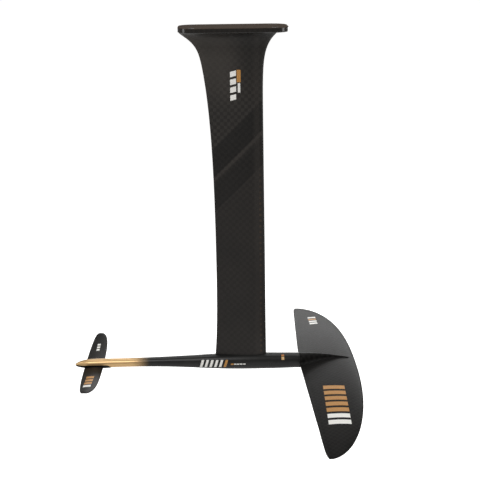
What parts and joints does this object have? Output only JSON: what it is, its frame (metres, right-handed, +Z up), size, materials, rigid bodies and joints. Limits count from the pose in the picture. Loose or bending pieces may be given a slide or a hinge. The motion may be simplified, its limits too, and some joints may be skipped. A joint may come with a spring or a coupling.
{
  "type": "hydrofoil",
  "caption": "Tall thin mast with a flat board plate on top, standing on a slim fuselage with a wide drooping front wing and a small upswept stabiliser at its tail.",
  "frame": {"origin": "centre of the mast plate's top face, where it meets the board", "axes": "+X towards the front wing, +Y across, along the wings' span, +Z up towards the board"},
  "size_m": [0.6216, 0.7988, 0.7583],
  "materials": {
    "mast_carbon": "satin carbon laminate",
    "plate_carbon": "gloss carbon laminate",
    "core": "structural foam",
    "spar": "solid laminate",
    "fuselage_paint": "satin black, fading to metallic gold at the tail",
    "wing_carbon": "matte carbon laminate",
    "stab_carbon": "matte carbon laminate",
    "stainless": "bead blasted stainless steel",
    "insert_brass": "machined",
    "bush_steel": "machined"
  },
  "bodies": {
    "mast": {"mast_plate": "plate_carbon", "plate_bushes": "bush_steel", "mast_skin": "mast_carbon", "mast_spar": "spar", "mast_nose_core": "core", "mast_tail_core": "core", "mast_foot_block": "spar", "mast_foot_inserts": "insert_brass"},
    "fuselage": {"fuselage_shell": "fuselage_paint", "fuselage_boom_core": "core", "front_wing_inserts": "insert_brass", "stabiliser_inserts": "insert_brass"},
    "front_wing": {"front_wing_upper_skin": "wing_carbon", "front_wing_lower_skin": "wing_carbon", "front_wing_core": "core", "front_wing_root_block": "fuselage_paint"},
    "stabiliser": {"stabiliser_wing": "stab_carbon"},
    "mast_bolt_rear": {"mast_bolt_rear": "stainless"},
    "mast_bolt_front": {"mast_bolt_front": "stainless"},
    "front_wing_bolt_rear": {"front_wing_bolt_rear": "stainless"},
    "front_wing_bolt_middle": {"front_wing_bolt_middle": "stainless"},
    "front_wing_bolt_front": {"front_wing_bolt_front": "stainless"},
    "stabiliser_bolt_rear": {"stabiliser_bolt_rear": "stainless"},
    "stabiliser_bolt_front": {"stabiliser_bolt_front": "stainless"}
  },
  "joints": [
    {"name": "fuselage_slide", "type": "slide", "parent": "mast", "child": "fuselage", "axis": [0, 0, -1], "range_m": [0, 0.12]},
    {"name": "front_wing_slide", "type": "slide", "parent": "fuselage", "child": "front_wing", "axis": [0, 0, -1], "range_m": [0, 0.1]},
    {"name": "stabiliser_slide", "type": "slide", "parent": "fuselage", "child": "stabiliser", "axis": [0, 0, -1], "range_m": [0, 0.08]},
    {"name": "mast_bolt_rear_slide", "type": "slide", "parent": "fuselage", "child": "mast_bolt_rear", "axis": [0, 0, -1], "range_m": [0, 0.06]},
    {"name": "mast_bolt_front_slide", "type": "slide", "parent": "fuselage", "child": "mast_bolt_front", "axis": [0, 0, -1], "range_m": [0, 0.06]},
    {"name": "front_wing_bolt_rear_slide", "type": "slide", "parent": "front_wing", "child": "front_wing_bolt_rear", "axis": [0, 0, -1], "range_m": [0, 0.045]},
    {"name": "front_wing_bolt_middle_slide", "type": "slide", "parent": "front_wing", "child": "front_wing_bolt_middle", "axis": [0, 0, -1], "range_m": [0, 0.045]},
    {"name": "front_wing_bolt_front_slide", "type": "slide", "parent": "front_wing", "child": "front_wing_bolt_front", "axis": [0, 0, -1], "range_m": [0, 0.045]},
    {"name": "stabiliser_bolt_rear_slide", "type": "slide", "parent": "stabiliser", "child": "stabiliser_bolt_rear", "axis": [0, 0, -1], "range_m": [0, 0.03]},
    {"name": "stabiliser_bolt_front_slide", "type": "slide", "parent": "stabiliser", "child": "stabiliser_bolt_front", "axis": [0, 0, -1], "range_m": [0, 0.03]}
  ]
}
